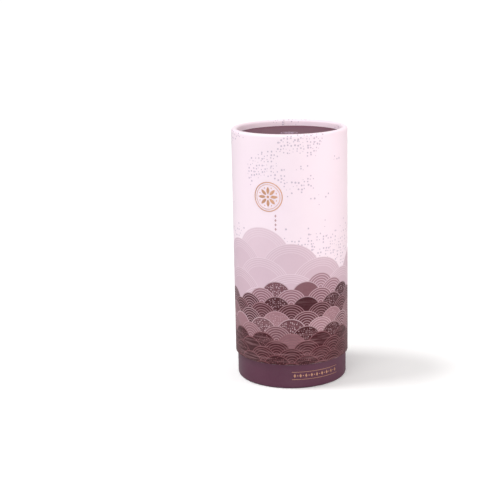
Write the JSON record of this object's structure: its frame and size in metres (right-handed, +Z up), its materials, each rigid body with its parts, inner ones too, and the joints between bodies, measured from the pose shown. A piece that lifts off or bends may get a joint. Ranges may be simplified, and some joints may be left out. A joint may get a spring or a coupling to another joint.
{
  "type": "cylindrical gift tube box",
  "caption": "Round gift tube box of wound board: a deep lid with a rolled rim and recessed top disc lifts off a base tube with a rolled foot.",
  "frame": {"origin": "centre of the foot, on the surface that the tube stands on", "axes": "+Z up along the tube's axis, -Y towards the front of the print; the lid lifts along +Z"},
  "size_m": [0.09, 0.09, 0.199],
  "materials": {
    "lid_printed_paper": "matte",
    "base_printed_paper": "matte",
    "wound_board": "matte",
    "lining_paper": "matte",
    "end_board": "matte",
    "end_face_paper": "matte",
    "foil": "satin"
  },
  "bodies": {
    "base": {"base_wrap": "base_printed_paper", "base_outer_ply": "wound_board", "base_inner_ply": "wound_board", "base_lining": "lining_paper", "base_end_board": "end_board", "base_end_face_paper": "end_face_paper", "base_floor_paper": "lining_paper", "base_foil_ornament": "foil"},
    "lid": {"lid_wrap": "lid_printed_paper", "lid_outer_ply": "wound_board", "lid_inner_ply": "wound_board", "lid_lining": "lining_paper", "lid_end_board": "end_board", "lid_end_face_paper": "end_face_paper", "lid_end_back_paper": "lining_paper", "lid_foil_emblem": "foil"}
  },
  "joints": [
    {"name": "lid_lift", "type": "slide", "parent": "base", "child": "lid", "axis": [0, 0, 1], "range_m": [0, 0.3]}
  ]
}
